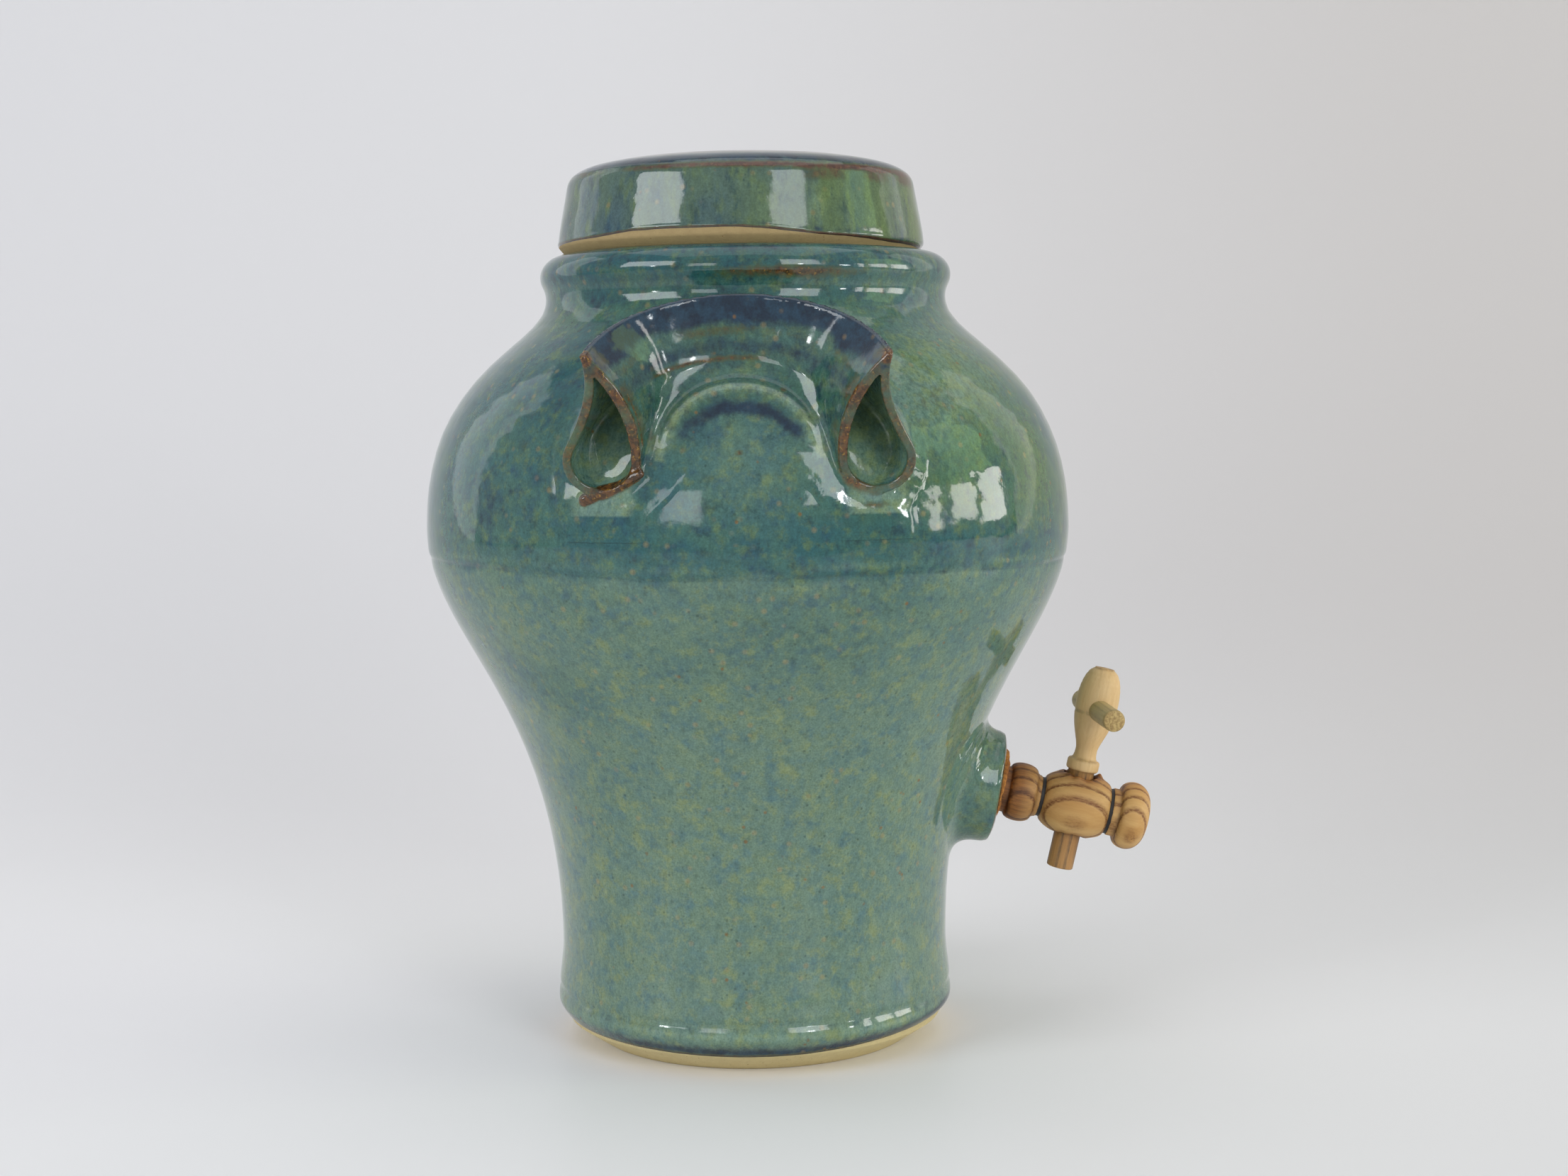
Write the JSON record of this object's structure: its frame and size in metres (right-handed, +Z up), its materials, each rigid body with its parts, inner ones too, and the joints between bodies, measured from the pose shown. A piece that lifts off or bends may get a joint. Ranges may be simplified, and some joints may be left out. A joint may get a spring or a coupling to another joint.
{
  "type": "vinegar crock with tap",
  "caption": "Shouldered stoneware vinegar crock with a cap lid, hollow lug handles and a turned wooden tap whose cross-handled key turns to pour.",
  "frame": {"origin": "centre of the foot's flat underside", "axes": "+Z up through the crock's axis; +X towards the tap; the handles face -Y and +Y"},
  "size_m": [0.2643, 0.2602, 0.3185],
  "materials": {
    "glaze": "glossy mottled green, blue and rust glaze over a bare foot",
    "lid_glaze": "glossy mottled green and rust glaze with a bare clay rim",
    "cork": "raw cork, darkened by vinegar",
    "tap_wood": "turned ring-porous hardwood with burnt lines",
    "key_wood": "turned pale hardwood"
  },
  "bodies": {
    "crock": {"crock_body": "glaze", "front_handle": "glaze", "rear_handle": "glaze", "tap_boss": "glaze", "cork_bung": "cork", "tap_body": "tap_wood", "key_liner": "cork"},
    "lid": {"lid": "lid_glaze"},
    "key": {"tap_key": "key_wood", "key_cross_pin": "key_wood"}
  },
  "joints": [
    {"name": "lid_lift", "type": "slide", "parent": "crock", "child": "lid", "axis": [0, 0, 1], "range_m": [0, 0.06]},
    {"name": "key_turn", "type": "hinge", "parent": "crock", "child": "key", "pos_m": [0.11919, 0, 0.08199], "axis": [0.225, 0, 0.9744], "continuous": true}
  ]
}
